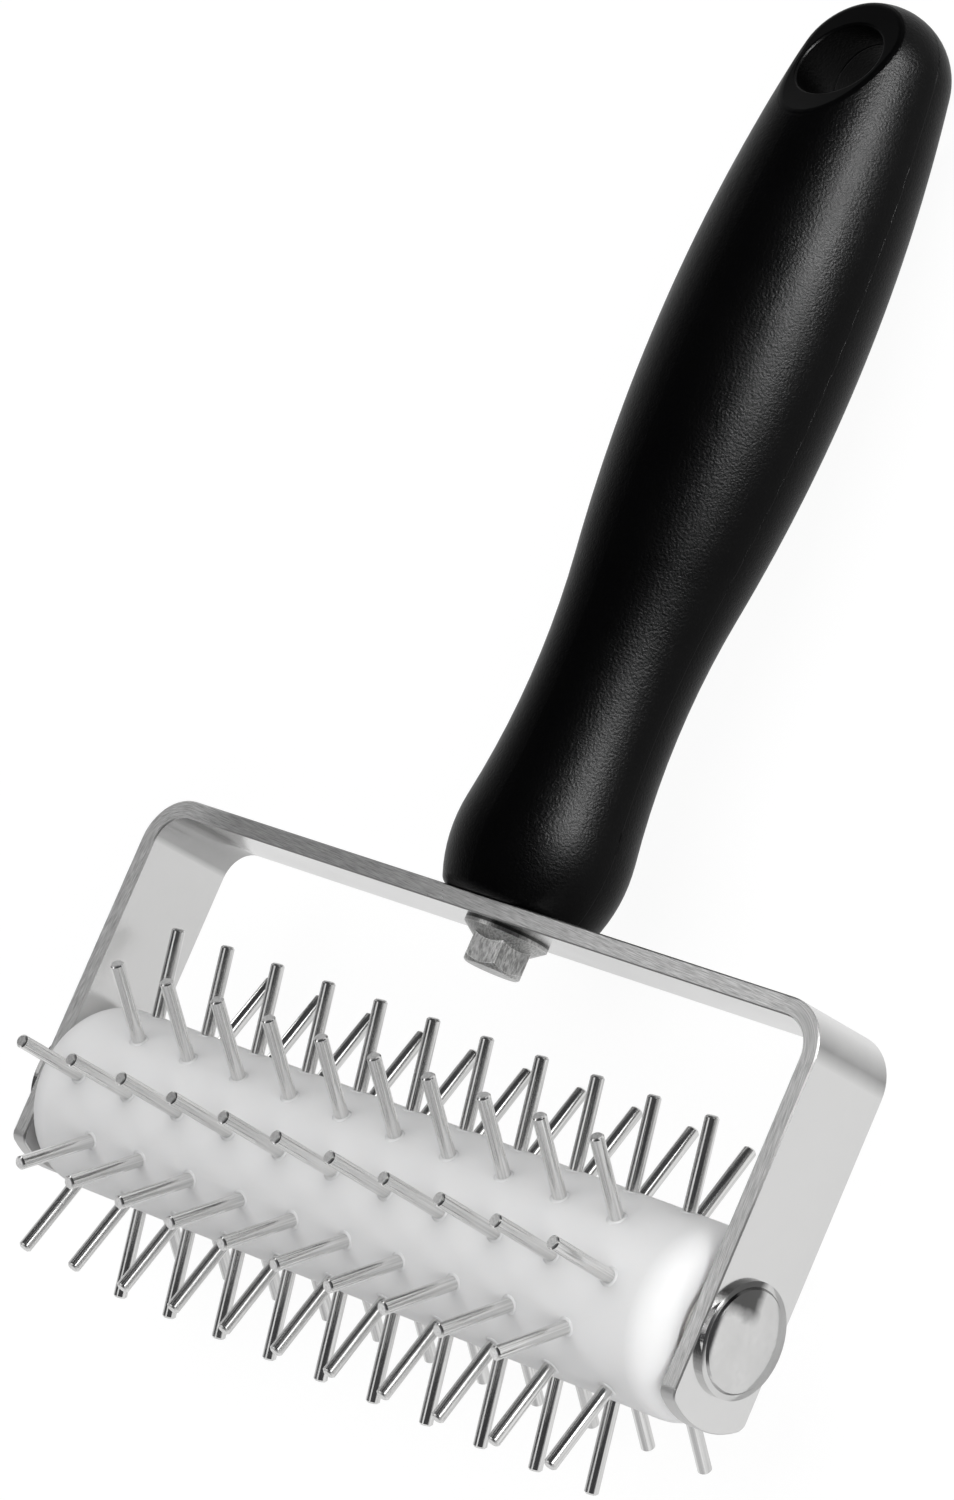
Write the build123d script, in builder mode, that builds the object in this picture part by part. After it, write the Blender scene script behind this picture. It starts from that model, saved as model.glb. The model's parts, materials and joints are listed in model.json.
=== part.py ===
"""Dough docker: a pin-studded plastic roller in a bent steel fork on a moulded handle.

Millimetres. The docker lies on a table as it is put down: on the lowest pins of the roller and
on the belly of the handle. +X runs along the axle, +Y towards the handle, +Z up. The origin is
on the table, below the middle of the object.
"""

import os
from math import asin, atan2, cos, hypot, radians, sin, sqrt, tan

from build123d import *

# Roller
pin_pitch = 10.0
long_row_pins = 11
short_row_pins = 10
row_count = 10
first_row_turn = 8.0
roller_diameter = 25.6
roller_end_margin = 9.6
roller_shoulder_radius = 4.5
roller_bore_clearance = 0.08
hub_recess_depth = 0.6
hub_recess_diameter = 16.0

# Pins
pin_diameter = 1.9
pin_projection = 12.5
pin_seat_depth = 6.0
pin_tip_chamfer = 0.25

# Fork, bent from flat bar
bar_thickness = 2.5
bar_width = 15.5
bend_radius = 4.5
crossbar_height = 41.7
arm_overhang = 12.2
arm_end_radius = 14.4
arm_corner_radius = 1.6
bar_edge_break = 0.2

# Axle tube, the two drive rivets in its ends, and the washers beside the roller
axle_diameter = 8.0
axle_bore_diameter = 5.0
axle_rivet_shank_length = 15.0
axle_rivet_tip_chamfer = 0.5
axle_rivet_hole_clearance = 0.05
axle_head_diameter = 15.4
axle_head_rim = 0.75
axle_head_step = 0.3
axle_head_land = 0.75
axle_head_crown = 0.45
washer_diameter = 14.0
washer_thickness = 0.8
washer_bore_clearance = 0.1
roller_end_play = 0.35

# Handle, a turned form of tangent arcs
handle_length = 132.7
foot_face_corner = 1.6
foot_crest_radius = 12.3
foot_crest_height = 8.8
foot_arc_radius = 22.0
waist_arc_radius = 125.0
belly_crest_radius = 13.95
belly_crest_height = 81.5
nose_radius = 10.55
hang_hole_diameter = 12.2
hang_hole_from_end = 11.1
hang_hole_break = 0.35
scoop_radius = 75.0
scoop_height = 7.9
scoop_lean = 20.0
scoop_edge_radius = 1.2

# Handle bolt, with a hexagon head and flange, and its insert
bolt_diameter = 5.0
bolt_length = 16.0
bolt_tip_chamfer = 0.6
bolt_hole_clearance = 0.25
bolt_hex_across_flats = 8.0
bolt_head_height = 5.7
bolt_flange_diameter = 11.8
bolt_flange_rim = 0.8
bolt_flange_slope = 1.45
bolt_hex_turn = -12.0
bolt_hex_end_diameter = 7.4
bolt_hex_end_slope = 40.0
insert_diameter = 8.0
insert_length = 15.0
insert_collar_diameter = 10.0
insert_collar_thickness = 1.2
insert_groove_width = 2.0
insert_groove_depth = 0.5
insert_pocket_tip = 2.0

cut_overrun = 1.0

# What the driving sizes give
roller_radius = roller_diameter / 2
pin_radius = pin_diameter / 2
pin_circle_radius = roller_radius + pin_projection
roller_length = (long_row_pins - 1) * pin_pitch + 2 * roller_end_margin
axle_radius = axle_diameter / 2
fork_gap = roller_length + 2 * (roller_end_play + washer_thickness - hub_recess_depth)
fork_width = fork_gap + 2 * bar_thickness
arm_inner = fork_gap / 2
arm_outer = fork_width / 2
row_angle = 360 / row_count
head_radius = axle_head_diameter / 2
crown_edge_radius = head_radius - axle_head_land - axle_head_step
crown_radius = (crown_edge_radius**2 + axle_head_crown**2) / (2 * axle_head_crown)
arm_end_sagitta = arm_end_radius - sqrt(arm_end_radius**2 - (bar_width / 2) ** 2)

row_turns = [first_row_turn + row * row_angle for row in range(row_count)]

# Arcs of the handle's outline: places along the handle from the axle, and radii. The belly's
# arc is the one that meets the nose's arc smoothly.
handle_end = crossbar_height + handle_length
nose_centre = (handle_end - nose_radius, 0)
belly_to_nose_centre = handle_length - nose_radius - belly_crest_height
belly_arc_radius = (belly_to_nose_centre**2 + belly_crest_radius**2 - nose_radius**2) / (
    2 * (belly_crest_radius - nose_radius)
)
foot_centre = (crossbar_height + foot_crest_height, foot_crest_radius - foot_arc_radius)
belly_centre = (crossbar_height + belly_crest_height, belly_crest_radius - belly_arc_radius)


def circle_crossing(first, first_radius, second, second_radius):
    """Return the crossing of two circles that lies further from the handle's axis."""
    run, rise = second[0] - first[0], second[1] - first[1]
    span = hypot(run, rise)
    along = (first_radius**2 - second_radius**2 + span**2) / (2 * span)
    across = sqrt(first_radius**2 - along**2)
    middle = (first[0] + run * along / span, first[1] + rise * along / span)
    return (middle[0] - rise * across / span, middle[1] + run * across / span)


def point_between(start, end, distance):
    """Return the point at a distance from start on the line towards end."""
    span = hypot(end[0] - start[0], end[1] - start[1])
    return tuple(a + (b - a) * distance / span for a, b in zip(start, end))


def point_on_arc(centre, radius, start, end):
    """Return the point halfway along the short arc from start to end."""
    middle = tuple((a + b) / 2 for a, b in zip(start, end))
    return point_between(centre, middle, radius)


def roller_reach(direction):
    """Return how far the pins reach from the axle in a direction, in degrees from +Z to +Y.

    A pin that leans from that direction reaches furthest with the edge of its flat end.
    """
    leans = [radians(turn - direction) for turn in row_turns]
    flat_radius = pin_radius - pin_tip_chamfer
    return max(pin_circle_radius * cos(lean) + flat_radius * abs(sin(lean)) for lean in leans)


waist_centre = circle_crossing(
    foot_centre,
    foot_arc_radius + waist_arc_radius,
    belly_centre,
    belly_arc_radius + waist_arc_radius,
)
foot_face_radius = foot_centre[1] + sqrt(foot_arc_radius**2 - foot_crest_height**2)
foot_to_waist = point_between(foot_centre, waist_centre, foot_arc_radius)
waist_to_belly = point_between(belly_centre, waist_centre, belly_arc_radius)
belly_to_nose = point_between(belly_centre, nose_centre, belly_arc_radius)

# The roller's pins and the handle's belly meet the table
axle_height = roller_reach(180)
belly_reach = hypot(belly_centre[0], belly_centre[1])
handle_tilt = asin((axle_height - belly_arc_radius) / belly_reach) - atan2(
    belly_centre[1], belly_centre[0]
)

# Planes of the docker as it lies. In fork_plane x is across, y is along the handle and the
# normal is up from the fork's face; axle_plane is square to the axle and faces +X.
reach_back = roller_reach(-90)
reach_front = nose_centre[0] * cos(handle_tilt) + nose_radius
axle_origin = Vector(0, -(reach_front - reach_back) / 2, axle_height)
along_handle = Vector(0, cos(handle_tilt), -sin(handle_tilt))
face_up = Vector(0, sin(handle_tilt), cos(handle_tilt))
fork_plane = Plane(origin=axle_origin, x_dir=(1, 0, 0), z_dir=face_up)
axle_plane = Plane(origin=axle_origin, x_dir=along_handle, z_dir=(1, 0, 0))
seat_plane = Plane(
    origin=axle_origin + along_handle * crossbar_height, x_dir=(1, 0, 0), z_dir=along_handle
)
bolt_plane = Plane(
    origin=axle_origin + along_handle * (crossbar_height - bar_thickness),
    x_dir=(1, 0, 0),
    z_dir=-along_handle,
)

# The hanging hole runs from front to back near the handle's end, between two scoops that are
# arcs across the handle. Each leans down towards the end where it passes the hole's axis.
hole_place = handle_end - hang_hole_from_end
hole_plane = Plane(
    origin=axle_origin + along_handle * hole_place, x_dir=(1, 0, 0), z_dir=face_up
)
scoop_centre = (
    hole_place + scoop_radius * sin(radians(scoop_lean)),
    scoop_height + scoop_radius * cos(radians(scoop_lean)),
)

# Half sections of the bolt head: x is out from the bolt's axis, y is away from the crossbar
bolt_section = Plane(origin=bolt_plane.origin, x_dir=(1, 0, 0), z_dir=-face_up)
bolt_axis = Axis(bolt_plane.origin, along_handle)
bolt_corner_radius = bolt_hex_across_flats / sqrt(3)
hex_end_radius = bolt_hex_end_diameter / 2
hex_end_drop = (bolt_corner_radius - hex_end_radius) * tan(radians(bolt_hex_end_slope))
flange_radius = bolt_flange_diameter / 2
flange_top = bolt_flange_rim + bolt_flange_slope

os.makedirs("parts", exist_ok=True)


def finish(part, name):
    """Label a finished piece and write it under its name."""
    part.label = name
    export_step(part, f"parts/{name}.step")


# Fork: one flat bar with two bends, its arms ending in shallow arcs below the axle
with BuildPart() as fork:
    with BuildSketch(fork_plane):
        with BuildLine():
            FilletPolyline(
                (-arm_outer, -arm_overhang),
                (-arm_outer, crossbar_height),
                (arm_outer, crossbar_height),
                (arm_outer, -arm_overhang),
                radius=bend_radius + bar_thickness,
            )
            Line((arm_outer, -arm_overhang), (arm_inner, -arm_overhang))
            FilletPolyline(
                (arm_inner, -arm_overhang),
                (arm_inner, crossbar_height - bar_thickness),
                (-arm_inner, crossbar_height - bar_thickness),
                (-arm_inner, -arm_overhang),
                radius=bend_radius,
            )
            Line((-arm_inner, -arm_overhang), (-arm_outer, -arm_overhang))
        make_face()
    extrude(amount=bar_width / 2, both=True)
    with BuildSketch(axle_plane):
        with Locations((-arm_overhang, 0)):
            Rectangle(2 * arm_end_sagitta, bar_width + 2 * cut_overrun)
        with Locations((arm_end_radius - arm_overhang, 0)):
            Circle(arm_end_radius, mode=Mode.SUBTRACT)
    extrude(amount=arm_outer + cut_overrun, both=True, mode=Mode.SUBTRACT)
    arm_tips = fork.edges().filter_by(Axis.X).group_by(SortBy.LENGTH)[0].sort_by(Axis.Y)[:4]
    fillet(arm_tips, radius=arm_corner_radius)
    with BuildSketch(axle_plane):
        Circle(axle_bore_diameter / 2 + axle_rivet_hole_clearance)
    extrude(amount=arm_outer + cut_overrun, both=True, mode=Mode.SUBTRACT)
    with BuildSketch(seat_plane):
        Circle(bolt_diameter / 2 + bolt_hole_clearance)
    extrude(amount=-bar_thickness - cut_overrun, mode=Mode.SUBTRACT)
    bar_faces = fork.faces().filter_by(Axis(axle_origin, face_up))
    chamfer(bar_faces.edges(), length=bar_edge_break)
finish(fork.part, "fork")

# Handle: turned about the axis that stands on the crossbar, its end scooped on both faces
# round the hanging hole
with BuildPart() as handle:
    with BuildSketch(axle_plane):
        with BuildLine():
            foot_face = (crossbar_height, foot_face_radius)
            Line((crossbar_height, 0), foot_face)
            ThreePointArc(
                foot_face,
                point_on_arc(foot_centre, foot_arc_radius, foot_face, foot_to_waist),
                foot_to_waist,
            )
            ThreePointArc(
                foot_to_waist,
                point_on_arc(waist_centre, waist_arc_radius, foot_to_waist, waist_to_belly),
                waist_to_belly,
            )
            ThreePointArc(
                waist_to_belly,
                point_on_arc(belly_centre, belly_arc_radius, waist_to_belly, belly_to_nose),
                belly_to_nose,
            )
            ThreePointArc(
                belly_to_nose,
                point_on_arc(nose_centre, nose_radius, belly_to_nose, (handle_end, 0)),
                (handle_end, 0),
            )
            Line((handle_end, 0), (crossbar_height, 0))
        make_face()
    revolve(axis=Axis(axle_origin, along_handle))
    foot_edge = handle.edges().filter_by(GeomType.CIRCLE).sort_by(Axis.Y)[0]
    fillet(foot_edge, radius=foot_face_corner)
    with BuildSketch(axle_plane):
        for face_side in (1, -1):
            with Locations((scoop_centre[0], face_side * scoop_centre[1])):
                Circle(scoop_radius)
    extrude(amount=belly_crest_radius, both=True, mode=Mode.SUBTRACT)
    scoops = handle.faces().filter_by(GeomType.CYLINDER)
    fillet(scoops.edges(), radius=scoop_edge_radius)
    with BuildSketch(hole_plane):
        Circle(hang_hole_diameter / 2)
    extrude(amount=belly_crest_radius, both=True, mode=Mode.SUBTRACT)
    hole_wall = handle.faces().filter_by(GeomType.CYLINDER).sort_by(SortBy.AREA)[0]
    fillet(hole_wall.edges().filter_by(GeomType.BSPLINE), radius=hang_hole_break)
    with BuildSketch(seat_plane):
        Circle(insert_collar_diameter / 2)
    extrude(amount=insert_collar_thickness, mode=Mode.SUBTRACT)
    with BuildSketch(seat_plane):
        Circle(insert_diameter / 2)
    extrude(amount=insert_length + insert_pocket_tip, mode=Mode.SUBTRACT)
finish(handle.part, "handle")

# Threaded insert in the handle's foot, grooved so that the plastic grips it
with BuildPart() as handle_insert:
    with BuildSketch(seat_plane):
        Circle(insert_diameter / 2)
    extrude(amount=insert_length)
    with BuildSketch(seat_plane):
        Circle(insert_collar_diameter / 2)
    extrude(amount=insert_collar_thickness)
    with BuildSketch(seat_plane.offset((insert_length - insert_groove_width) / 2)):
        Circle(insert_diameter / 2)
        Circle(insert_diameter / 2 - insert_groove_depth, mode=Mode.SUBTRACT)
    extrude(amount=insert_groove_width, mode=Mode.SUBTRACT)
    with BuildSketch(seat_plane):
        Circle(bolt_diameter / 2)
    extrude(amount=insert_length, mode=Mode.SUBTRACT)
finish(handle_insert.part, "handle_insert")

# Handle bolt: hexagon head on a conical flange, driven up through the crossbar
with BuildPart() as handle_bolt:
    with BuildSketch(bolt_plane):
        RegularPolygon(
            bolt_hex_across_flats / 2, side_count=6, major_radius=False, rotation=bolt_hex_turn
        )
    extrude(amount=bolt_head_height)
    with BuildSketch(bolt_section):
        with BuildLine():
            Polyline(
                (0, 0),
                (flange_radius, 0),
                (flange_radius, flange_top),
                (bolt_corner_radius, bolt_head_height - hex_end_drop),
                (hex_end_radius, bolt_head_height),
                (0, bolt_head_height),
                close=True,
            )
        make_face()
    revolve(axis=bolt_axis, mode=Mode.INTERSECT)
    with BuildSketch(bolt_section):
        with BuildLine():
            Polyline(
                (0, 0),
                (flange_radius, 0),
                (flange_radius, bolt_flange_rim),
                (bolt_hex_across_flats / 2, flange_top),
                (0, flange_top),
                close=True,
            )
        make_face()
    revolve(axis=bolt_axis)
    with BuildSketch(bolt_plane):
        Circle(bolt_diameter / 2)
    extrude(amount=-bolt_length)
    bolt_tip = handle_bolt.edges().filter_by(GeomType.CIRCLE).sort_by(Axis.Y)[-1]
    chamfer(bolt_tip, length=bolt_tip_chamfer)
finish(handle_bolt.part, "handle_bolt")

# Axle tube, clamped between the arms, on which the roller turns
with BuildPart() as axle_tube:
    with BuildSketch(axle_plane):
        Circle(axle_radius)
        Circle(axle_bore_diameter / 2, mode=Mode.SUBTRACT)
    extrude(amount=arm_inner, both=True)
finish(axle_tube.part, "axle_tube")

# A drive rivet through each arm into the axle tube, and a washer between arm and roller
for side, side_name in ((1, "right"), (-1, "left")):
    face = side * arm_outer
    rim_top = face + side * axle_head_rim
    step_top = rim_top + side * axle_head_step
    crown_top = step_top + side * axle_head_crown
    with BuildPart() as axle_rivet:
        with BuildSketch(fork_plane):
            with BuildLine():
                shank_start = (face, axle_bore_diameter / 2)
                shank_tip = face - side * axle_rivet_shank_length
                crown_edge = (step_top, crown_edge_radius)
                Polyline(
                    (shank_tip, 0),
                    (shank_tip, axle_bore_diameter / 2 - axle_rivet_tip_chamfer),
                    (shank_tip + side * axle_rivet_tip_chamfer, axle_bore_diameter / 2),
                    shank_start,
                    (face, head_radius),
                    (rim_top, head_radius),
                    (rim_top, head_radius - axle_head_land),
                    crown_edge,
                )
                crown_centre = (crown_top - side * crown_radius, 0)
                crown_middle = point_on_arc(crown_centre, crown_radius, crown_edge, (crown_top, 0))
                ThreePointArc(crown_edge, crown_middle, (crown_top, 0))
                Line((crown_top, 0), (shank_tip, 0))
            make_face()
        revolve(axis=Axis(axle_origin, (1, 0, 0)))
    finish(axle_rivet.part, f"axle_rivet_{side_name}")

    washer_plane = Plane(
        origin=axle_origin + Vector(side * arm_inner, 0, 0), x_dir=along_handle, z_dir=(side, 0, 0)
    )
    with BuildPart() as thrust_washer:
        with BuildSketch(washer_plane):
            Circle(washer_diameter / 2)
            Circle(axle_radius + washer_bore_clearance, mode=Mode.SUBTRACT)
        extrude(amount=-washer_thickness)
    finish(thrust_washer.part, f"thrust_washer_{side_name}")

# Pins in rows along the roller, long and short rows by turns, so each row's pins stand
# midway between those of its neighbours. Each pin is a separate length of wire.
pin_rows = []
for row, row_turn in enumerate(row_turns):
    pin_direction = Vector(0, sin(radians(row_turn)), cos(radians(row_turn)))
    row_plane = Plane(origin=axle_origin, x_dir=(1, 0, 0), z_dir=pin_direction)
    pins_in_row = long_row_pins if row % 2 == 0 else short_row_pins
    with BuildPart() as pin_row:
        with BuildSketch(row_plane.offset(roller_radius - pin_seat_depth)):
            with GridLocations(pin_pitch, pin_pitch, pins_in_row, 1):
                Circle(pin_radius)
        extrude(amount=pin_seat_depth + pin_projection)
        tips = pin_row.edges().filter_by(GeomType.CIRCLE)
        tips = tips.group_by(Axis(row_plane.origin, row_plane.z_dir))[-1]
        chamfer(tips, length=pin_tip_chamfer)
    pin_rows.append(pin_row.part)
    finish(pin_row.part, f"pin_row_{row + 1:02d}")

# Roller: round-shouldered cylinder with a washer recess at each end and a seat for each pin
with BuildPart() as roller:
    with BuildSketch(axle_plane):
        Circle(roller_radius)
    extrude(amount=roller_length / 2, both=True)
    fillet(roller.edges().filter_by(GeomType.CIRCLE), radius=roller_shoulder_radius)
    with BuildSketch(axle_plane):
        Circle(axle_radius + roller_bore_clearance)
    extrude(amount=roller_length / 2, both=True, mode=Mode.SUBTRACT)
    for side in (-1, 1):
        end_plane = Plane(
            origin=axle_origin + Vector(side * roller_length / 2, 0, 0), z_dir=(side, 0, 0)
        )
        with BuildSketch(end_plane):
            Circle(hub_recess_diameter / 2)
        extrude(amount=-hub_recess_depth, mode=Mode.SUBTRACT)
    add(pin_rows, mode=Mode.SUBTRACT)
finish(roller.part, "roller")
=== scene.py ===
"""Looks of the dough docker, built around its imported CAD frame.

Metres, in the frame's own axes: +X along the axle, +Y towards the handle's end, +Z up from
the table. Every CAD node keeps its shape and gets a procedural finish. Two thin trims are
modelled here: the handle's moulding seam, and the welts of plastic round the pins' roots.
Finishes read object coordinates, so that they look the same from every side.
"""

import json
import logging
import math
from dataclasses import dataclass
from enum import Enum

import bmesh
import bpy
from mathutils import Matrix, Vector


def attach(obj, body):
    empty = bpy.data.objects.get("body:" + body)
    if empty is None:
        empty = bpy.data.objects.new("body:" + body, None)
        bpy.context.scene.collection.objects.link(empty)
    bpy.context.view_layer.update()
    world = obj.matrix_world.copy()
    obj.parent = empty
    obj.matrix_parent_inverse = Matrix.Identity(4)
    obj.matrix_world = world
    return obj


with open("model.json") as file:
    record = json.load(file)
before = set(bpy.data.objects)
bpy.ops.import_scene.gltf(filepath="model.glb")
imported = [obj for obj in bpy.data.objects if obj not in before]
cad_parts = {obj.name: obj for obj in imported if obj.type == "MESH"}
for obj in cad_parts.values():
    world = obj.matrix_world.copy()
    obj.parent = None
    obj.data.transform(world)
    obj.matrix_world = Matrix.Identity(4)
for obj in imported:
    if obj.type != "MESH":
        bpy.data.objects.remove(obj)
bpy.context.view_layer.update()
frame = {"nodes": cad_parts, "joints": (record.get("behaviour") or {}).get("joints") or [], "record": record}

MM = 0.001
MERGE_REACH = 0.001 * MM  # vertices nearer to each other than this are one
PATCH_RANGE = (0.3, 0.7)  # values of the slow noise that most patches lie between
WHITE = (1.0, 1.0, 1.0)
log = logging.getLogger("docker")

Colour = tuple[float, float, float]
Point = tuple[float, float, float]
Span = tuple[float, float]
Tree = bpy.types.NodeTree
Socket = bpy.types.NodeSocket


class Body(Enum):
    """Bodies of the mechanism that a piece can ride on."""

    FRAME = "frame"
    ROLLER = "roller"


class Slot(Enum):
    """Material slots of the record."""

    HANDLE = "handle_plastic"
    INSERT = "insert_brass"
    BOLT = "bolt_steel"
    FORK = "fork_steel"
    AXLE = "axle_steel"
    RIVET = "rivet_steel"
    WASHER = "washer_plastic"
    ROLLER = "roller_plastic"
    PIN = "pin_steel"


@dataclass(frozen=True)
class Layout:
    """Places that several pieces share, as the CAD model has them."""

    axle: Vector
    tilt: float

    @property
    def along(self) -> Vector:
        """Direction from the axle to the handle's end."""
        return Vector((0, math.cos(self.tilt), -math.sin(self.tilt)))

    @property
    def face(self) -> Vector:
        """Direction that the fork's narrow upper edge faces."""
        return Vector((0, math.sin(self.tilt), math.cos(self.tilt)))


def read_layout() -> Layout:
    """Read the axle's place and the handle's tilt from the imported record.

    Returns:
        The layout, in metres and radians.
    """
    joint = frame["joints"][0]
    mount = frame["record"]["mounts"][0]
    axis = Vector(mount["axis"])
    return Layout(axle=Vector(joint["pos_m"]), tilt=math.atan2(axis.y, axis.z))


def set_inputs(tree: Tree, node: bpy.types.Node, values: dict) -> None:
    """Give a node's inputs, by name or index, constants or other nodes' output sockets."""
    for key, value in values.items():
        if isinstance(value, Socket):
            tree.links.new(value, node.inputs[key])
        else:
            node.inputs[key].default_value = value


def add_node(tree: Tree, kind: str, values: dict | None = None, **options) -> bpy.types.Node:
    """Add a node, set its options, and give its inputs values or links.

    Args:
        tree: Node tree of a material, world or group.
        kind: Blender's name for the node type.
        values: Input name or index, with a constant or another node's output socket.
        **options: Attributes of the node.

    Returns:
        The new node.
    """
    made = tree.nodes.new(kind)
    for option, value in options.items():
        setattr(made, option, value)
    set_inputs(tree, made, values or {})
    return made


def calculate(tree: Tree, operation: str, *values: Socket | float) -> Socket:
    """Add a Math node and return its output.

    Args:
        tree: Node tree that gets the node.
        operation: Blender's name for the operation.
        *values: Constants or sockets, in the node's order.

    Returns:
        The result's socket.
    """
    return add_node(tree, "ShaderNodeMath", dict(enumerate(values)), operation=operation).outputs[0]


def multiply(tree: Tree, product: Socket, *others: Socket | float) -> Socket:
    """Multiply a socket by other sockets or constants, one after another."""
    for other in others:
        product = calculate(tree, "MULTIPLY", product, other)
    return product


def remap(tree: Tree, value: Socket, span: Span, result: Span = (0.0, 1.0)) -> Socket:
    """Map a value's range onto another range, held at its ends.

    Args:
        tree: Node tree that gets the node.
        value: Socket to map.
        span: The two values that become the ends of the result.
        result: What they become.

    Returns:
        The result's socket.
    """
    ends = dict(zip(("From Min", "From Max", "To Min", "To Max"), (*span, *result)))
    return add_node(tree, "ShaderNodeMapRange", {"Value": value, **ends}).outputs["Result"]


def blend_colours(
    tree: Tree, share: Socket | float, first: Socket | Colour, second: Socket | Colour
) -> Socket:
    """Mix two colours.

    Args:
        tree: Node tree that gets the node.
        share: Socket or constant, 0 for the first colour and 1 for the second.
        first: Colour or socket.
        second: Colour or socket.

    Returns:
        The mixed colour's socket.
    """
    mix = add_node(tree, "ShaderNodeMix", data_type="RGBA")
    for name, value in (("Factor_Float", share), ("A_Color", first), ("B_Color", second)):
        socket = next(s for s in mix.inputs if s.identifier == name)
        if isinstance(value, Socket):
            tree.links.new(value, socket)
        else:
            socket.default_value = value if name == "Factor_Float" else (*value, 1)
    return next(s for s in mix.outputs if s.identifier == "Result_Color")


def docker_axes(tree: Tree, place: Socket, layout: Layout) -> list[Socket]:
    """Turn object coordinates into the docker's own axes, from the axle's middle.

    Args:
        tree: The material's node tree.
        place: Object coordinates.
        layout: Where the axle is and how the handle tilts.

    Returns:
        Sockets of the distance across, along the handle, and out of the fork's face.
    """
    local = add_node(
        tree,
        "ShaderNodeMapping",
        {"Vector": place, "Location": tuple(layout.axle), "Rotation": (-layout.tilt, 0, 0)},
        vector_type="TEXTURE",
    )
    return list(add_node(tree, "ShaderNodeSeparateXYZ", {0: local.outputs[0]}).outputs)


def combine(tree: Tree, *parts: Socket) -> Socket:
    """Make a vector of two or three parts."""
    return add_node(tree, "ShaderNodeCombineXYZ", dict(enumerate(parts))).outputs[0]


def length_of(tree: Tree, *parts: Socket) -> Socket:
    """Work out the length of a vector from two or three of its parts."""
    vector = {0: combine(tree, *parts)}
    return add_node(tree, "ShaderNodeVectorMath", vector, operation="LENGTH").outputs["Value"]


class SharedEffect:
    """A node group with named sockets, which several finishes use."""

    def __init__(self, name: str) -> None:
        """Start an empty group."""
        self.tree = bpy.data.node_groups.new(name, "ShaderNodeTree")

    def open_input(self, name: str, kind: str, default: float | None = None) -> None:
        """Give the group a named input of Blender's kind Float or Vector."""
        made = self.tree.interface.new_socket(
            name=name, in_out="INPUT", socket_type=f"NodeSocket{kind}"
        )
        if default is not None:
            made.default_value = default

    def close(self, results: dict[str, Socket]) -> None:
        """Give the group its outputs, which are masks or heights, by their names."""
        for name in results:
            self.tree.interface.new_socket(
                name=name, in_out="OUTPUT", socket_type="NodeSocketFloat"
            )
        add_node(self.tree, "NodeGroupOutput", results)


class NoiseEffect(SharedEffect):
    """Fine grain that follows one vector, and slow patches that follow another."""

    GRAIN = {"Detail": 3.0, "Roughness": 0.6}
    PATCHES = {"Detail": 4.0, "Roughness": 0.55}

    def __init__(self) -> None:
        """Build the node group."""
        super().__init__("grain_and_patches")
        for name in ("Pattern", "Place"):
            self.open_input(name, "Vector")
        for name, default in (("Grain Scale", 1000.0), ("Patch Scale", 60.0)):
            self.open_input(name, "Float", default)
        given = add_node(self.tree, "NodeGroupInput").outputs
        grain = {"Vector": given["Pattern"], "Scale": given["Grain Scale"], **self.GRAIN}
        patches = {"Vector": given["Place"], "Scale": given["Patch Scale"], **self.PATCHES}
        self.close(
            {
                "Grain": add_node(self.tree, "ShaderNodeTexNoise", grain).outputs[0],
                "Patches": add_node(self.tree, "ShaderNodeTexNoise", patches).outputs[0],
            }
        )

    def place(
        self, tree: Tree, pattern: Socket, place: Socket, grain_scale: float, patch_scale: float
    ) -> bpy.types.NodeOutputs:
        """Put the effect into a material.

        Args:
            tree: The material's node tree.
            pattern: Vector that the grain follows.
            place: Vector that the patches follow.
            grain_scale: Scale of the grain.
            patch_scale: Scale of the patches.

        Returns:
            The group's outputs, Grain and Patches.
        """
        vectors = {"Pattern": pattern, "Place": place}
        scales = {"Grain Scale": grain_scale, "Patch Scale": patch_scale}
        made = add_node(tree, "ShaderNodeGroup", {**vectors, **scales}, node_tree=self.tree)
        return made.outputs


class EdgeEffect(SharedEffect):
    """A mask that is 1 where a hard edge is near."""

    SAMPLES = 4
    DEFAULT_REACH = 0.3 * MM
    FACING = (0.995, 0.85)

    def __init__(self) -> None:
        """Build the node group."""
        super().__init__("edge_mask")
        self.open_input("Reach", "Float", self.DEFAULT_REACH)
        given = add_node(self.tree, "NodeGroupInput").outputs
        rounded = add_node(
            self.tree, "ShaderNodeBevel", {"Radius": given["Reach"]}, samples=self.SAMPLES
        )
        surface = add_node(self.tree, "ShaderNodeNewGeometry")
        facing = add_node(
            self.tree,
            "ShaderNodeVectorMath",
            {0: rounded.outputs[0], 1: surface.outputs["Normal"]},
            operation="DOT_PRODUCT",
        )
        self.close({"Edge": remap(self.tree, facing.outputs["Value"], self.FACING)})

    def place(self, tree: Tree, reach: float) -> Socket:
        """Put the effect into a material, for edges nearer than the reach in metres."""
        made = add_node(tree, "ShaderNodeGroup", {"Reach": reach}, node_tree=self.tree)
        return made.outputs["Edge"]


@dataclass(frozen=True)
class Effects:
    """The shared effects that finishes use."""

    noise: NoiseEffect
    edge: EdgeEffect


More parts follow.
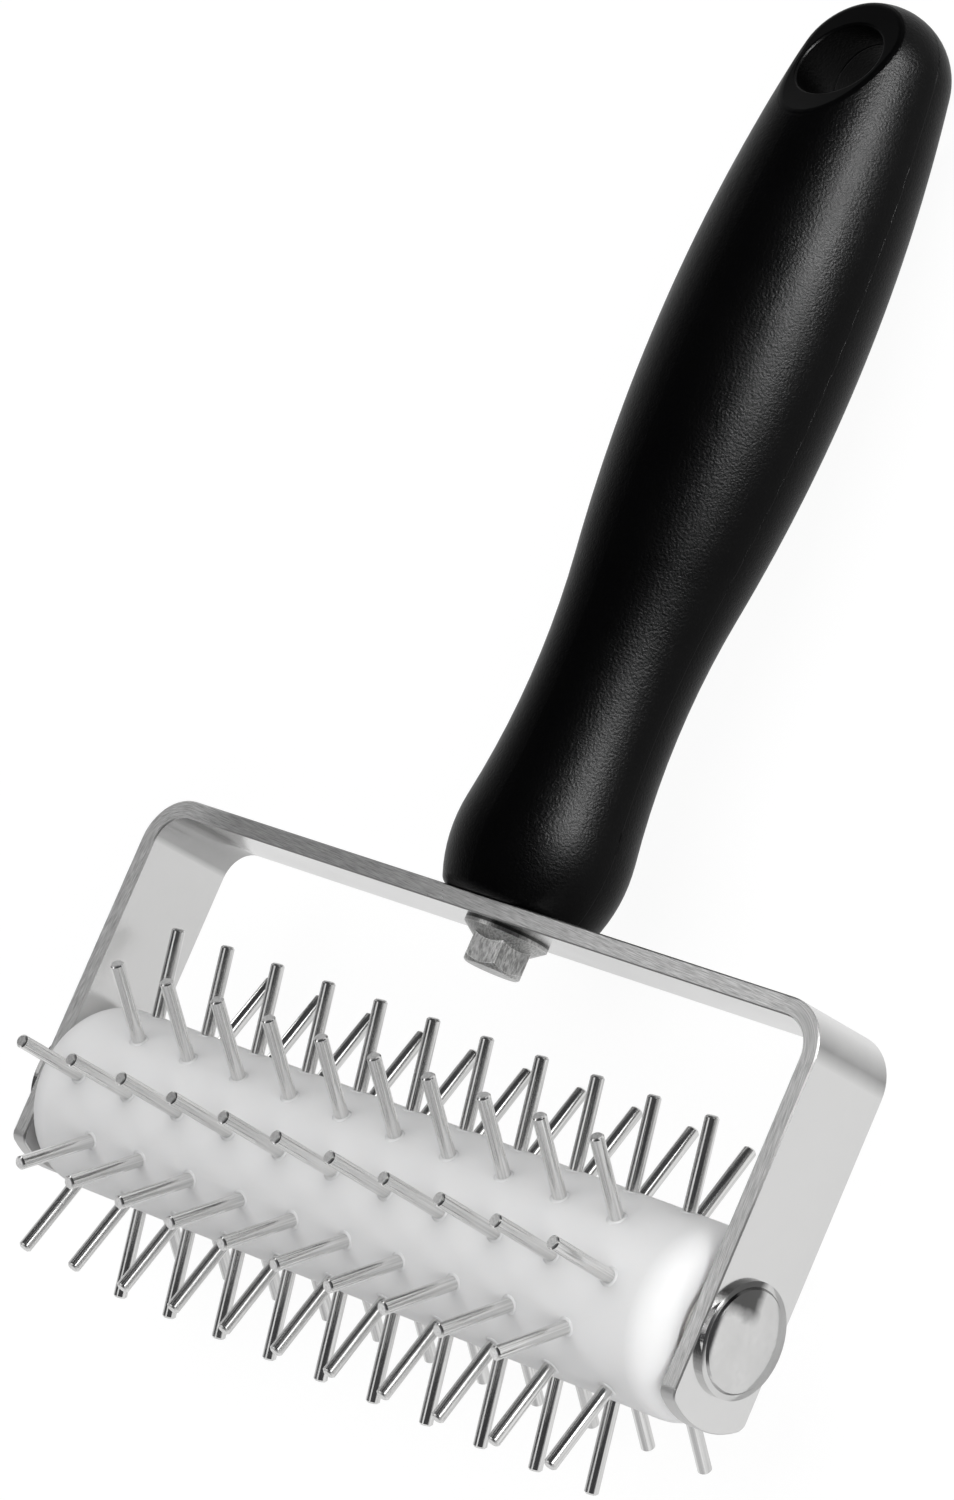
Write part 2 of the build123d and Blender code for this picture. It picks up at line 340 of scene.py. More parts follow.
class Draft:
    """A material in the making: its tree, its shader and its object coordinates."""

    def __init__(self, name: str) -> None:
        """Make the material, with its shader still at Blender's own values."""
        self.material = bpy.data.materials.new(name)
        self.material.use_nodes = True
        self.tree = self.material.node_tree
        self.shader = self.tree.nodes["Principled BSDF"]
        self.place = add_node(self.tree, "ShaderNodeTexCoord").outputs["Object"]

    def feed(self, values: dict) -> None:
        """Give the shader's inputs constants or other nodes' sockets."""
        set_inputs(self.tree, self.shader, values)

    def roughen(self, height: Socket, distance: float) -> None:
        """Feed a relief into the shader's normal.

        Args:
            height: Socket of the relief.
            distance: Depth in metres of a relief of 1.
        """
        bump = add_node(self.tree, "ShaderNodeBump", {"Height": height, "Distance": distance})
        self.feed({"Normal": bump.outputs[0]})


@dataclass(frozen=True)
class Finish:
    """What every finish has: a name, a colour and the shader's plain settings.

    The spread is how far the roughness falls and rises from patch to patch. In all finishes,
    a field that ends in _share says how bright a colour is next to the finish's own, and one
    that ends in _weight how strong an effect is.
    """

    name: str
    colour: Colour
    roughness: float
    metallic: float = 0.0
    spread: Span = (-0.05, 0.07)

    def start(self) -> Draft:
        """Start the material with its plain colour, roughness and metallic value."""
        draft = Draft(self.name)
        draft.feed({"Base Color": (*self.colour, 1)})
        draft.feed({"Roughness": self.roughness, "Metallic": self.metallic})
        return draft

    def shaded(self, share: float) -> Colour:
        """Return the finish's colour made darker or lighter by a share, at most white."""
        return tuple(min(1.0, share * part) for part in self.colour)

    def varied_roughness(self, tree: Tree, patches: Socket) -> Socket:
        """Vary the roughness from patch to patch."""
        least, most = self.spread
        return remap(tree, patches, PATCH_RANGE, (self.roughness + least, self.roughness + most))


@dataclass(frozen=True)
class PebbledPlastic(Finish):
    """Black moulded plastic with a fine pebbled skin that ends at the smooth scoops, which have a painted
    sheen.
    """

    spread: Span = (-0.03, 0.04)
    layout: Layout | None = None
    specular: float = 0.06
    pebble_scale: float = 2900.0
    pebble_depth: float = 0.075 * MM
    patch_scale: float = 90.0
    crest_range: Span = (0.35, 0.7)
    crest_share: float = 1.8
    scoop_sheen_share: float = 1.3
    scoop_along: float = 188.95 * MM
    scoop_out: float = 78.38 * MM
    scoop_radius: float = 75.0 * MM
    scoop_fade: Span = (0.3 * MM, 0.2 * MM)

    def make(self, effects: Effects) -> bpy.types.Material:
        """Build the material from the shared effects."""
        draft = self.start()
        tree, place = draft.tree, draft.place
        noise = effects.noise.place(tree, place, place, self.pebble_scale, self.patch_scale)
        smooth = self.scoop_mask(tree, place)
        crests = remap(tree, noise["Grain"], self.crest_range)
        colour = blend_colours(tree, crests, self.colour, self.shaded(self.crest_share))
        # the smooth scoops are painted lighter: a painted sheen
        colour = blend_colours(tree, smooth, colour, self.shaded(self.scoop_sheen_share))
        roughness = self.varied_roughness(tree, noise["Patches"])
        draft.feed({"Base Color": colour, "Roughness": roughness})
        draft.feed({"Specular IOR Level": self.specular})
        pebbled = calculate(tree, "SUBTRACT", 1.0, smooth)
        draft.roughen(multiply(tree, noise["Grain"], pebbled), self.pebble_depth)
        return draft.material

    def scoop_mask(self, tree: Tree, place: Socket) -> Socket:
        """Mark the two scoops, which are arcs of one radius round a line across the handle."""
        _, along, out = docker_axes(tree, place, self.layout)
        run = calculate(tree, "SUBTRACT", along, self.scoop_along)
        rise = calculate(tree, "SUBTRACT", calculate(tree, "ABSOLUTE", out), self.scoop_out)
        gap = calculate(tree, "SUBTRACT", length_of(tree, run, rise), self.scoop_radius)
        return remap(tree, calculate(tree, "ABSOLUTE", gap), self.scoop_fade)


@dataclass(frozen=True)
class SatinPlastic(Finish):
    """White plastic with a satin skin and a little light passing through it."""

    spread: Span = (-0.05, 0.06)
    specular: float = 0.45
    glow: float = 0.2
    glow_reach: float = 2.0 * MM
    glow_radius: Point = (1.0, 0.95, 0.9)
    skin_scale: float = 1500.0
    skin_depth: float = 0.01 * MM
    patch_scale: float = 45.0
    stain_range: Span = (0.4, 0.65)
    stain_share: float = 0.975

    def make(self, effects: Effects) -> bpy.types.Material:
        """Build the material from the shared effects."""
        draft = self.start()
        tree, place = draft.tree, draft.place
        noise = effects.noise.place(tree, place, place, self.skin_scale, self.patch_scale)
        stain_and_reflection = remap(tree, noise["Patches"], self.stain_range)
        colour = blend_colours(tree, stain_and_reflection, self.colour, self.shaded(self.stain_share))
        roughness = self.varied_roughness(tree, noise["Patches"])
        draft.feed({"Base Color": colour, "Roughness": roughness})
        draft.feed(
            {
                "Specular IOR Level": self.specular,
                "Subsurface Weight": self.glow,
                "Subsurface Scale": self.glow_reach,
                "Subsurface Radius": self.glow_radius,
            }
        )
        draft.roughen(noise["Grain"], self.skin_depth)
        return draft.material


@dataclass(frozen=True)
class BarSpot:
    """Sockets that tell where on the bent bar a point lies.

    The last two are distances past the bends' start: along the axle and along the handle.
    """

    across: Socket
    along: Socket
    out: Socket
    side: Socket
    from_side: Socket
    from_top: Socket


@dataclass(frozen=True)
class BarFaces:
    """Masks of the bar's broad rolled faces, narrow sawn faces, broken corners and tips."""

    broad: Socket
    narrow: Socket
    corner: Socket
    tip: Socket


@dataclass(frozen=True)
class BrushedBar(Finish):
    """Flat bar with its grain along its length, round both bends.

    The grain is faint on the broad rolled faces, and strong and leaning on the narrow sawn
    ones. The crossbar's sawn face has painted shade on its left half, and the right arm's a
    little. The broken corners are a painted dark reflection line, but plain at the left arm,
    and a painted highlight at the right one near the crossbar. The arms' tips are rough, and
    the bends have painted shade.
    """

    spread: Span = (-0.03, 0.05)
    layout: Layout | None = None
    half_width: float = 62.65 * MM
    bar_top: float = 41.7 * MM
    bend_radius: float = 7.0 * MM
    thickness: float = 2.5 * MM
    narrow_place: float = 7.75 * MM
    edge_break: float = 0.2 * MM
    edge_fade: float = 0.02 * MM
    grain_scale: float = 8000.0
    grain_run: float = 0.05
    grain_depth: float = 0.012 * MM
    patch_scale: float = 70.0
    streak_lean: float = 0.09
    streak_range: Span = (0.62, 0.30)
    streak_share: float = 0.42
    broad_weight: float = 0.05
    narrow_roughness: float = 0.12
    edge_roughness: float = 0.3
    left_shade_rise: Span = (-57.0 * MM, -47.0 * MM)
    left_shade_fall: Span = (-20.0 * MM, 25.0 * MM)
    left_shade_weight: float = 0.5
    painted_shade_share: float = 0.15
    right_arm: Span = (52.0 * MM, 58.0 * MM)
    right_shade_weight: float = 0.2
    corner_shade_share: float = 0.45
    left_arm: Span = (-48.0 * MM, -54.0 * MM)
    left_share: float = 0.9
    highlight_rise: Span = (14.0 * MM, 26.0 * MM)
    highlight_side: Span = (56.0 * MM, 57.0 * MM)
    highlight_share: float = 1.3
    tip_place: float = -8.9 * MM
    tip_fade: float = 0.1 * MM
    tip_margin: float = 0.05 * MM
    tip_share: float = 0.85
    bend_shade_share: float = 0.40
    bend_fade: float = 1.0 * MM
    bend_weight: float = 0.7
    bend_patches: Span = (0.3, 0.6)
    bend_least: float = 0.75
    band_rise: float = 2.2 * MM
    band_end: float = 5.8 * MM

    def make(self, effects: Effects) -> bpy.types.Material:
        """Build the material from the shared effects."""
        draft = self.start()
        tree, place = draft.tree, draft.place
        spot = self.find_spot(tree, place)
        faces = self.find_faces(tree, spot)
        pattern = self.bar_pattern(tree, spot, faces.narrow)
        noise = effects.noise.place(tree, pattern, place, self.grain_scale, self.patch_scale)
        weight = remap(tree, faces.narrow, (0.0, 1.0), (self.broad_weight, 1.0))
        streaks = multiply(tree, remap(tree, noise["Grain"], self.streak_range), weight)
        colour = blend_colours(tree, streaks, self.colour, self.shaded(self.streak_share))
        # painted shade on the crossbar's left sawn face, and a little on the right arm's
        painted_shade = self.painted_shade_mask(tree, spot, faces.narrow)
        colour = blend_colours(tree, painted_shade, colour, self.shaded(self.painted_shade_share))
        # painted dark reflection along the broken corners, and a painted highlight on the right arm's
        colour = blend_colours(tree, faces.corner, colour, self.painted_corner_colour(tree, spot))
        colour = blend_colours(tree, faces.tip, colour, self.shaded(self.tip_share))
        # painted shade round the bends, patchy
        patchy = remap(tree, noise["Patches"], self.bend_patches, (self.bend_least, 1.0))
        bend_shade = multiply(tree, self.bend_shade_mask(tree, spot), faces.broad, patchy)
        colour = blend_colours(tree, bend_shade, colour, self.shaded(self.bend_shade_share))
        rough = multiply(tree, faces.narrow, self.narrow_roughness)
        rough = calculate(tree, "ADD", self.varied_roughness(tree, noise["Patches"]), rough)
        edges = calculate(tree, "MAXIMUM", faces.corner, faces.tip)
        rough = calculate(tree, "ADD", rough, multiply(tree, edges, self.edge_roughness))
        draft.feed({"Base Color": colour, "Roughness": rough})
        draft.roughen(multiply(tree, noise["Grain"], weight), self.grain_depth)
        return draft.material

    def find_spot(self, tree: Tree, place: Socket) -> BarSpot:
        """Work out from the object coordinates where on the bar a point lies."""
        across, along, out = docker_axes(tree, place, self.layout)
        side = calculate(tree, "ABSOLUTE", across)
        from_side = calculate(tree, "SUBTRACT", side, self.half_width - self.bend_radius)
        from_top = calculate(tree, "SUBTRACT", along, self.bar_top - self.bend_radius)
        return BarSpot(across, along, out, side, from_side, from_top)

    def find_faces(self, tree: Tree, spot: BarSpot) -> BarFaces:
        """Tell the bar's kinds of face apart by their distance from its middle plane.

        Args:
            tree: The material's node tree.
            spot: Where on the bar a point lies.

        Returns:
            The masks.
        """
        reach = calculate(tree, "ABSOLUTE", spot.out)
        start = self.narrow_place - self.edge_break
        past_start = remap(tree, reach, (start, start + self.edge_fade))
        inside = (self.narrow_place - self.edge_fade, self.narrow_place - self.edge_fade / 2)
        narrow = remap(tree, reach, inside)
        tip = remap(tree, spot.along, (self.tip_place, self.tip_place - self.tip_fade))
        corner = calculate(tree, "SUBTRACT", past_start, narrow)
        half = self.thickness / 2
        between = calculate(
            tree, "COMPARE", spot.side, self.half_width - half, half - self.tip_margin
        )
        return BarFaces(
            broad=calculate(tree, "SUBTRACT", 1.0, past_start),
            narrow=narrow,
            corner=multiply(tree, corner, calculate(tree, "SUBTRACT", 1.0, tip)),
            tip=multiply(tree, tip, between),
        )

    def painted_shade_mask(self, tree: Tree, spot: BarSpot, narrow: Socket) -> Socket:
        """Mark the painted shade on the left half of the crossbar's sawn face, and faintly on the right
        arm's.
        """
        fall = remap(tree, spot.across, self.left_shade_fall, (self.left_shade_weight, 0.0))
        painted_shade = multiply(tree, remap(tree, spot.across, self.left_shade_rise), fall)
        right = remap(tree, spot.across, self.right_arm, (0.0, self.right_shade_weight))
        return multiply(tree, calculate(tree, "MAXIMUM", painted_shade, right), narrow)

    def painted_corner_colour(self, tree: Tree, spot: BarSpot) -> Socket:
        """Work out the broken corners' colour, which differs from arm to arm: a painted dark reflection
        line, plain at the left arm, with a painted highlight on the right arm near the crossbar.
        """
        left = remap(tree, spot.across, self.left_arm)
        line, plain = self.shaded(self.corner_shade_share), self.shaded(self.left_share)
        colour = blend_colours(tree, left, line, plain)
        highlight = remap(tree, spot.along, self.highlight_rise)
        highlight = multiply(tree, highlight, remap(tree, spot.across, self.highlight_side))
        return blend_colours(tree, highlight, colour, self.shaded(self.highlight_share))

    def bend_shade_mask(self, tree: Tree, spot: BarSpot) -> Socket:
        """Mark the painted shade round the bends.

        Args:
            tree: The material's node tree.
            spot: Where on the bar a point lies.

        Returns:
            A mask of the bend's whole inner side and of a soft band on its outer side.
        """
        past_both = calculate(tree, "MINIMUM", spot.from_side, spot.from_top)
        inside = remap(tree, past_both, (0.0, self.bend_fade))
        rise = remap(tree, spot.from_top, (0.0, self.band_rise))
        band = multiply(tree, rise, remap(tree, spot.from_top, (self.band_end, self.band_rise)))
        depth = length_of(tree, spot.from_side, spot.from_top)
        outer = calculate(tree, "GREATER_THAN", depth, self.bend_radius - self.thickness / 2)
        wrapped = calculate(tree, "GREATER_THAN", spot.from_side, 0.0)
        band = multiply(tree, band, multiply(tree, outer, wrapped))
        inner = multiply(tree, inside, remap(tree, outer, (0.0, 1.0), (self.bend_weight, 0.0)))
        return calculate(tree, "ADD", inner, band)

    def bar_pattern(self, tree: Tree, spot: BarSpot, narrow: Socket) -> Socket:
        """Work out a vector that is fine across the bar and slow along it.

        Args:
            tree: The material's node tree.
            spot: Where on the bar a point lies.
            narrow: Mask of the sawn faces, where the streaks lean.

        Returns:
            A vector of depth in the bar, place across its width, and run.
        """
        run = calculate(tree, "ADD", spot.across, spot.along)
        past_side = calculate(tree, "MAXIMUM", spot.from_side, 0.0)
        past_top = calculate(tree, "MAXIMUM", spot.from_top, 0.0)
        depth = length_of(tree, past_side, past_top)
        leaning = calculate(tree, "ADD", depth, multiply(tree, run, narrow, self.streak_lean))
        return combine(tree, leaning, spot.out, multiply(tree, run, self.grain_run))


@dataclass(frozen=True)
class DrawnWire(Finish):
    """Bright wire with streaks along each pin, for rows of pins that stand round the axle."""

    spread: Span = (-0.05, 0.08)
    layout: Layout | None = None
    first_turn: float = 0.0
    row_turn: float = math.tau
    streak_scale: float = 3200.0
    streak_depth: float = 0.002 * MM
    streak_range: Span = (0.6, 0.35)
    streak_share: float = 0.77
    patch_scale: float = 260.0
    run_per_reach: float = 0.008
    run_per_row: float = 0.013
    tip_reach: float = 25.2 * MM
    tip_fade: float = 0.02 * MM
    tip_roughness: float = 0.2

    def make(self, effects: Effects) -> bpy.types.Material:
        """Build the material from the shared effects."""
        draft = self.start()
        tree, place = draft.tree, draft.place
        across, along, out = docker_axes(tree, place, self.layout)
        reach = length_of(tree, along, out)
        turn = calculate(tree, "ARCTAN2", along, out)
        pattern = self.pin_pattern(tree, across, reach, turn)
        noise = effects.noise.place(tree, pattern, place, self.streak_scale, self.patch_scale)
        streaks = remap(tree, noise["Grain"], self.streak_range)
        colour = blend_colours(tree, streaks, self.colour, self.shaded(self.streak_share))
        tip = remap(tree, reach, (self.tip_reach - self.tip_fade, self.tip_reach))
        sawn = multiply(tree, tip, self.tip_roughness)
        rough = calculate(tree, "ADD", self.varied_roughness(tree, noise["Patches"]), sawn)
        draft.feed({"Base Color": colour, "Roughness": rough})
        draft.roughen(noise["Grain"], self.streak_depth)
        return draft.material

    def pin_pattern(self, tree: Tree, across: Socket, reach: Socket, turn: Socket) -> Socket:
        """Work out a vector that is fine across a pin and slow along it.

        Args:
            tree: The material's node tree.
            across: Distance along the axle.
            reach: Distance from the axle.
            turn: Angle round the axle, from the fork's face.

        Returns:
            A vector of the place along the axle, the distance beside the row, and the run.
        """
        from_first = calculate(tree, "SUBTRACT", turn, self.first_turn - self.layout.tilt)
        rows = calculate(tree, "ADD", calculate(tree, "DIVIDE", from_first, self.row_turn), 0.5)
        share = calculate(tree, "SUBTRACT", calculate(tree, "FRACT", rows), 0.5)
        lean = multiply(tree, share, self.row_turn)
        beside = multiply(tree, reach, calculate(tree, "SINE", lean))
        row = multiply(tree, calculate(tree, "FLOOR", rows), self.run_per_row)
        run = calculate(tree, "ADD", multiply(tree, reach, self.run_per_reach), row)
        return combine(tree, across, beside, run)


@dataclass(frozen=True)
class DarkReflection:
    """A painted dark reflection with a ragged edge: where it fades in along the handle, and outwards."""

    along: Span
    out: Span
    patch_range: Span = (0.2, 0.8)
    ragged: float = 0.9 * MM
    share: float = 0.14


@dataclass(frozen=True)
class PlainMetal(Finish):
    """Metal with fine scratches, patches, and edges lighter partly from rubbed wear and partly as a painted
    highlight: rivets, bolt, tube, insert.

    A crown is a shallow dome round the axle's line, as a relief. A painted contact shade darkens
    what lies further along the handle than its place.
    """

    layout: Layout | None = None
    scratch_scale: float = 900.0
    scratch_depth: float = 0.01 * MM
    scratch_stretch: Point = (1.0, 1.0, 1.0)
    patch_scale: float = 220.0
    mottle_range: Span = (0.35, 0.65)
    mottle_share: float = 0.82
    grain_range: Span = (0.58, 0.38)
    grain_share: float = 0.95
    rub_reach: float = 0.2 * MM
    wear_and_glint_weight: float = 0.5
    wear_and_glint_share: float = 1.2
    crown_depth: float = 0.0
    crown_radius: float = 6.65 * MM
    crown_power: float = 4.0
    contact_shade_place: float = 0.0
    contact_shade_fade: float = 0.1 * MM
    contact_shade_share: float = 0.12
    dark_reflection: DarkReflection | None = None

    def make(self, effects: Effects) -> bpy.types.Material:
        """Build the material from the shared effects."""
        draft = self.start()
        tree, place = draft.tree, draft.place
        stretched = {0: place, 1: self.scratch_stretch}
        pattern = add_node(tree, "ShaderNodeVectorMath", stretched, operation="MULTIPLY").outputs[0]
        noise = effects.noise.place(tree, pattern, place, self.scratch_scale, self.patch_scale)
        share = remap(tree, noise["Patches"], self.mottle_range)
        colour = blend_colours(tree, share, self.colour, self.shaded(self.mottle_share))
        pits = remap(tree, noise["Grain"], self.grain_range)
        colour = blend_colours(tree, pits, colour, self.shaded(self.grain_share))
        # edges lighter, partly rubbed wear and partly a painted highlight
        edge = multiply(tree, effects.edge.place(tree, self.rub_reach), self.wear_and_glint_weight)
        colour = blend_colours(tree, edge, colour, self.shaded(self.wear_and_glint_share))
        height = multiply(tree, noise["Grain"], self.scratch_depth)
        if self.layout:
            _, along, out = docker_axes(tree, place, self.layout)
            colour = self.add_painted_shade(tree, colour, along, out, noise["Patches"])
            if self.crown_depth:
                height = calculate(tree, "SUBTRACT", height, self.crown_drop(tree, along, out))
        roughness = self.varied_roughness(tree, noise["Patches"])
        draft.feed({"Base Color": colour, "Roughness": roughness})
        draft.roughen(height, 1.0)
        return draft.material

    def add_painted_shade(
        self, tree: Tree, colour: Socket, along: Socket, out: Socket, patches: Socket
    ) -> Socket:
        """Add painted contact shade and a painted dark reflection to the colour, where the finish has them.

        Args:
            tree: The material's node tree.
            colour: The clean metal's colour.
            along: Distance along the handle.
            out: Distance out of the fork's face.
            patches: The slow patches, which make the painted reflection's edge ragged.

        Returns:
            The colour's socket.
        """
        # painted contact shade on what lies further along the handle than the place
        if self.contact_shade_place:
            contact_shade = remap(tree, along, (self.contact_shade_place, self.contact_shade_place + self.contact_shade_fade))
            colour = blend_colours(tree, contact_shade, colour, self.shaded(self.contact_shade_share))
        # a painted dark reflection with a ragged edge
        if self.dark_reflection:
            reach = self.dark_reflection.ragged
            ragged = remap(tree, patches, self.dark_reflection.patch_range, (-reach, reach))
            upper = remap(tree, calculate(tree, "ADD", along, ragged), self.dark_reflection.along)
            outer = remap(tree, calculate(tree, "SUBTRACT", out, ragged), self.dark_reflection.out)
            stain_and_reflection = multiply(tree, upper, outer)
            colour = blend_colours(tree, stain_and_reflection, colour, self.shaded(self.dark_reflection.share))
        return colour

    def crown_drop(self, tree: Tree, along: Socket, out: Socket) -> Socket:
        """Work out how far the crown falls off from the axle's line."""
        ratio = calculate(tree, "DIVIDE", length_of(tree, along, out), self.crown_radius)
        return multiply(tree, calculate(tree, "POWER", ratio, self.crown_power), self.crown_depth)


def dress(nodes: tuple[str, ...], material: bpy.types.Material) -> None:
    """Give CAD nodes a material in place of the frame's plain one.

    Args:
        nodes: Names of the CAD nodes.
        material: The finish.
    """
    for name in nodes:
        node = frame["nodes"][name]
        if not node.material_slots:
            node.data.materials.append(material)
        for held in node.material_slots:
            held.material = material
        log.info("%s: %s", name, material.name)


def add_piece(
    mesh: bmesh.types.BMesh, name: str, material: bpy.types.Material, body: Body
) -> None:
    """Turn a bmesh into a piece that rides on a body.

    Args:
        mesh: The shape, in the frame's own place. It is freed.
        name: Name of the piece.
        material: Its finish.
        body: The body that it rides on.
    """
    bmesh.ops.remove_doubles(mesh, verts=mesh.verts, dist=MERGE_REACH)
    bmesh.ops.recalc_face_normals(mesh, faces=mesh.faces)
    data = bpy.data.meshes.new(name)
    mesh.to_mesh(data)
    mesh.free()
    for face in data.polygons:
        face.use_smooth = True
    data.materials.append(material)
    piece = bpy.data.objects.new(name, data)
    bpy.context.scene.collection.objects.link(piece)
    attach(piece, body.value)
    log.info("%s: %d faces", name, len(data.polygons))


@dataclass
class HandleSet:
    """The handle with its moulding seam, its insert and its bolt."""

    layout: Layout
    effects: Effects
    black: Colour = (0.0007, 0.0007, 0.0008)
    brass: Colour = (0.78, 0.58, 0.28)
    steel: Colour = (0.63, 0.63, 0.623)
    seam_width: float = 0.20 * MM
    seam_height: float = 0.025 * MM
    seam_step: float = 0.12 * MM
    cut_reach: float = 0.0001 * MM
    foot_end: float = 60.0 * MM
    pocket_radius: float = 5.4 * MM

    def build(self) -> None:
        """Dress the nodes and add the seam."""
        plastic = PebbledPlastic("black_pebbled_plastic", self.black, 0.33, layout=self.layout)
        turned = PlainMetal("turned_brass", self.brass, 0.28, 1.0)
        forged = PlainMetal(
            "forged_steel",
            self.steel,
            0.32,
            1.0,
            layout=self.layout,
            scratch_scale=3600.0,
            scratch_depth=0.06 * MM,
            scratch_stretch=(1.0, 0.3, 1.0),
            mottle_share=0.75,
            grain_share=0.5,
            # bright edges: rubbed wear and a painted highlight on the hexagon's ridges
            wear_and_glint_weight=0.9,
            wear_and_glint_share=1.5,
            # painted contact shade where the bolt's flange meets the crossbar
            contact_shade_place=38.85 * MM,
        )
        skin = plastic.make(self.effects)
        dress(("handle",), skin)
        dress(("handle_insert",), turned.make(self.effects))
        dress(("handle_bolt",), forged.make(self.effects))
        add_piece(self.seam(), "handle_seam", skin, Body.FRAME)

    def seam(self) -> bmesh.types.BMesh:
        """Cut the handle along its mould's parting plane and raise a narrow band there.

        Returns:
            The band, closed, half of it sunk into the handle.
        """
        mesh = bmesh.new()
        mesh.from_mesh(frame["nodes"]["handle"].data)
        bmesh.ops.remove_doubles(mesh, verts=mesh.verts, dist=MERGE_REACH)
        bmesh.ops.bisect_plane(
            mesh,
            geom=[*mesh.verts, *mesh.edges, *mesh.faces],
            dist=self.cut_reach,
            plane_co=self.layout.axle,
            plane_no=self.layout.face,
            clear_inner=True,
            clear_outer=True,
        )
        inside = [v for v in mesh.verts if self.in_pocket(v.co)]
        bmesh.ops.delete(mesh, geom=inside, context="VERTS")
        bmesh.ops.remove_doubles(mesh, verts=mesh.verts, dist=self.seam_step)
        half = self.layout.face * self.seam_width / 2
        bmesh.ops.translate(mesh, vec=-half, verts=mesh.verts)
        raised = bmesh.ops.extrude_edge_only(mesh, edges=mesh.edges)
        moved = [part for part in raised["geom"] if isinstance(part, bmesh.types.BMVert)]
        bmesh.ops.translate(mesh, vec=2 * half, verts=moved)
        bmesh.ops.recalc_face_normals(mesh, faces=mesh.faces)
        bmesh.ops.solidify(mesh, geom=mesh.faces, thickness=2 * self.seam_height)
        return mesh

    def in_pocket(self, point: Vector) -> bool:
        """Tell whether a point of the cut is on the insert's pocket or the foot's flat face."""
        offset = point - self.layout.axle
        return offset.dot(self.layout.along) < self.foot_end and abs(offset.x) < self.pocket_radius


@dataclass
class ForkSet:
    """The fork with the axle tube, its rivets and the washers."""

    layout: Layout
    effects: Effects
    bar_steel: Colour = (0.73, 0.728, 0.724)
    rivet_steel: Colour = (0.70, 0.698, 0.694)
    tube_steel: Colour = (0.65, 0.65, 0.64)
    natural: Colour = (0.80, 0.79, 0.75)

    def build(self) -> None:
        """Dress the nodes."""
        bar = BrushedBar("brushed_flat_bar", self.bar_steel, 0.18, 1.0, layout=self.layout)
        rivet = PlainMetal(
            "bright_rivet",
            self.rivet_steel,
            0.16,
            1.0,
            layout=self.layout,
            mottle_share=0.92,
            wear_and_glint_weight=0.2,
            crown_depth=0.8 * MM,
            # a painted dark reflection on the rivets' crowns
            dark_reflection=DarkReflection(along=(1.8 * MM, 4.0 * MM), out=(-0.4 * MM, 1.2 * MM)),
        )
        tube = PlainMetal("drawn_tube", self.tube_steel, 0.30, 1.0)
        nylon = SatinPlastic("natural_nylon", self.natural, 0.45)
        dress(("fork",), bar.make(self.effects))
        dress(("axle_rivet_left", "axle_rivet_right"), rivet.make(self.effects))
        dress(("axle_tube",), tube.make(self.effects))
        washers = ("thrust_washer_left", "thrust_washer_right")
        dress(washers, nylon.make(self.effects))


@dataclass
class RollerSet:
    """The roller with its pins and the welt of plastic round each."""

    layout: Layout
    effects: Effects
    white: Colour = (0.91, 0.91, 0.91)
    steel: Colour = (0.80, 0.798, 0.792)
    rows: int = 10
    long_row: int = 11
    first_turn: float = 8.0
    pitch: float = 10.0 * MM
    surface: float = 12.8 * MM
    pin_radius: float = 0.95 * MM
    welt_overlap: float = 0.05 * MM
    welt_spread: float = 0.40 * MM
    welt_height: float = 0.12 * MM
    welt_bend: Span = (0.3, 0.6)
    welt_sink: float = 0.02 * MM
    welt_root: float = 0.25 * MM
    welt_steps: int = 14

    @property
    def row_turn(self) -> float:
        """Angle in degrees from one row of pins to the next."""
        return 360 / self.rows

    def build(self) -> None:
        """Dress the nodes and add the welts."""
        plastic = SatinPlastic("white_satin_plastic", self.white, 0.54)
        wire = DrawnWire(
            "drawn_wire",
            self.steel,
            0.17,
            1.0,
            layout=self.layout,
            first_turn=math.radians(self.first_turn),
            row_turn=math.radians(self.row_turn),
        )
        skin = plastic.make(self.effects)
        pins = tuple(f"pin_row_{row + 1:02d}" for row in range(self.rows))
        dress(("roller",), skin)
        dress(pins, wire.make(self.effects))
        add_piece(self.welts(), "pin_welts", skin, Body.ROLLER)

    def welts(self) -> bmesh.types.BMesh:
        """Spin a small flared ring round each pin where it leaves the roller.

        Returns:
            All the rings.
        """
        mesh = bmesh.new()
        for row in range(self.rows):
            turn = math.radians(self.first_turn + row * self.row_turn)
            out = Vector((0, math.sin(turn), math.cos(turn)))
            pins = self.long_row - row % 2
            for index in range(pins):
                across = (index - (pins - 1) / 2) * self.pitch
                self.add_welt(mesh, self.layout.axle + Vector((across, 0, 0)), out)
        return mesh

    def add_welt(self, mesh: bmesh.types.BMesh, centre: Vector, out: Vector) -> None:
        """Add one ring.

        Args:
            mesh: Bmesh that gets the ring.
            centre: Point on the axle below the pin.
            out: The pin's direction.
        """
        side = Vector((1, 0, 0))
        inner = self.pin_radius - self.welt_overlap
        outer = self.pin_radius + self.welt_spread
        root = self.surface - self.welt_root
        bend_place, bend_height = self.welt_bend
        profile = (
            (inner, root),
            (inner, self.surface + self.welt_height),
            (inner + bend_place * self.welt_spread, self.surface + bend_height * self.welt_height),
            (outer, self.surface - self.welt_sink),
            (outer, root),
        )
        points = [mesh.verts.new(centre + side * reach + out * height) for reach, height in profile]
        edges = [mesh.edges.new(pair) for pair in zip(points, points[1:] + points[:1])]
        bmesh.ops.spin(
            mesh,
            geom=[*points, *edges],
            cent=centre,
            axis=out,
            angle=math.tau,
            steps=self.welt_steps,
            use_merge=True,
            use_duplicate=False,
        )


class Lights(Enum):
    """What a lamp acts on: whether shiny surfaces mirror it, and whether it lights matt ones."""

    SHINE = (True, False)
    MATT = (False, True)
    BOTH = (True, True)


